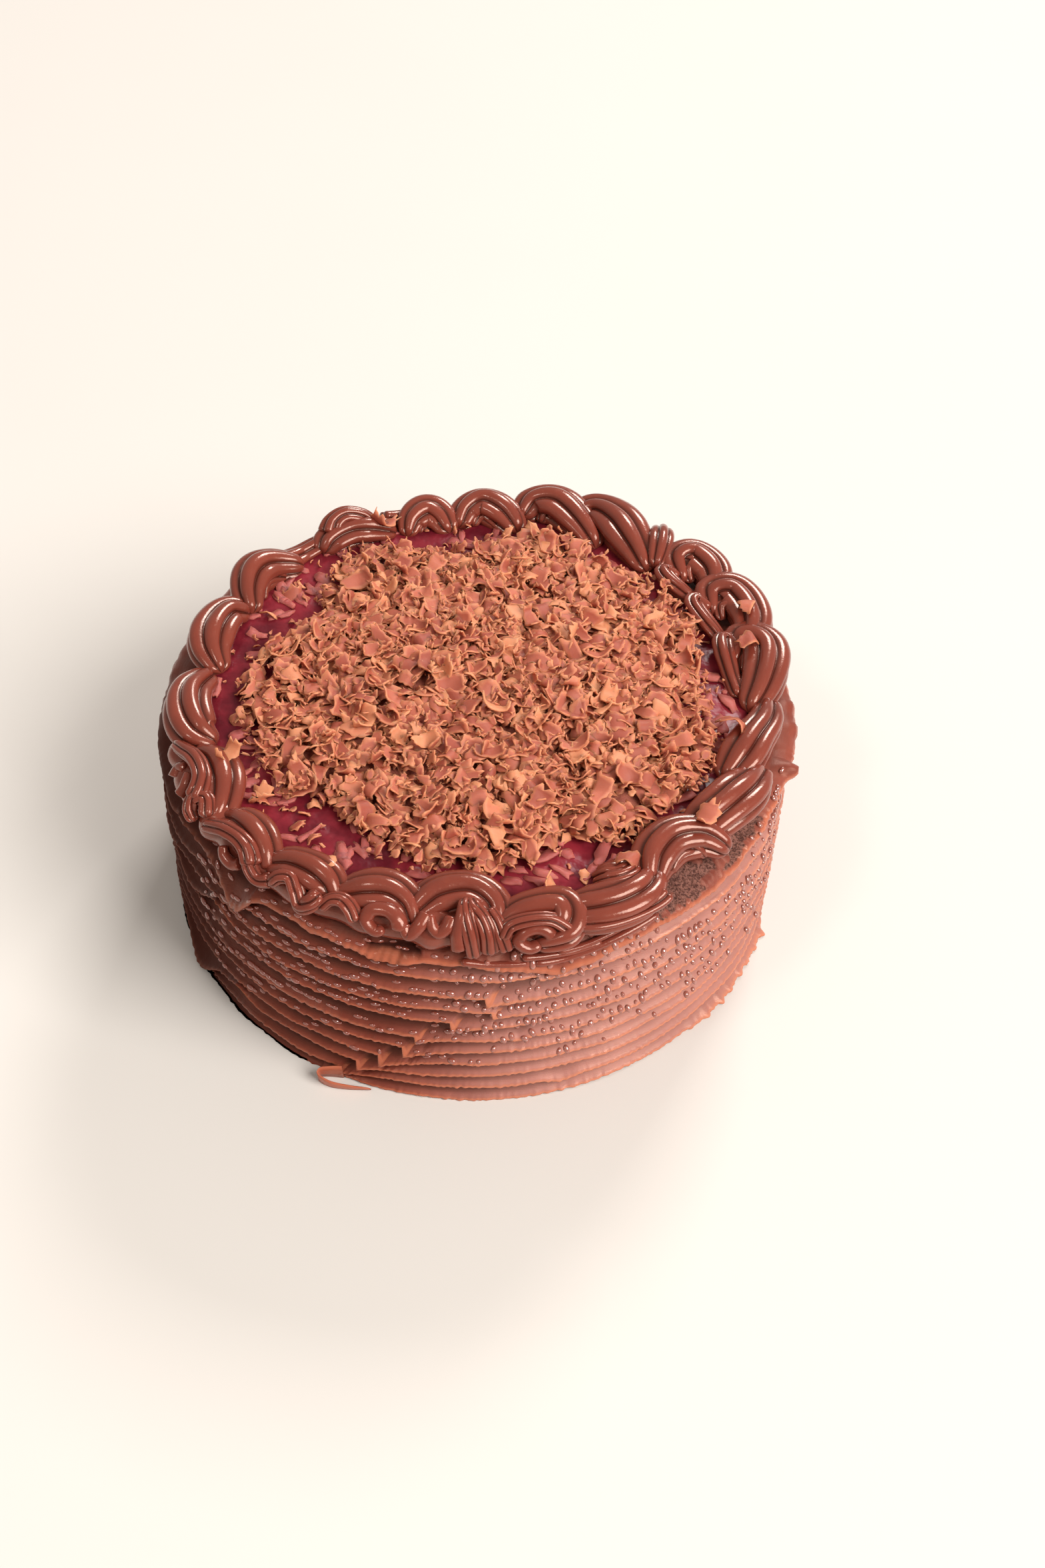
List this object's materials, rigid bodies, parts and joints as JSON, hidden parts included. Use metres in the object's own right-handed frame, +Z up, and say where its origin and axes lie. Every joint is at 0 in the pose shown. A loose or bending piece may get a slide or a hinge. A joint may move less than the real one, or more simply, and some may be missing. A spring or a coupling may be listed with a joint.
{
  "type": "sachertorte cake",
  "caption": "Round chocolate cake with combed cream sides, a piped rope border, a dark red jelly top and a heap of chocolate shavings.",
  "frame": {"origin": "middle of the flat base that the cake rests on", "axes": "+Z up, -Y the front of the cake, with the comb's seam left of the middle"},
  "size_m": [0.2003, 0.2004, 0.0914],
  "materials": {
    "ganache": "satin chocolate cream",
    "jelly": "wet gloss",
    "shaved_chocolate": "soft matte"
  },
  "bodies": {
    "root": {"cake_body": "ganache", "piped_border": "ganache", "jelly_top": "jelly", "shavings": "shaved_chocolate"}
  },
  "joints": []
}
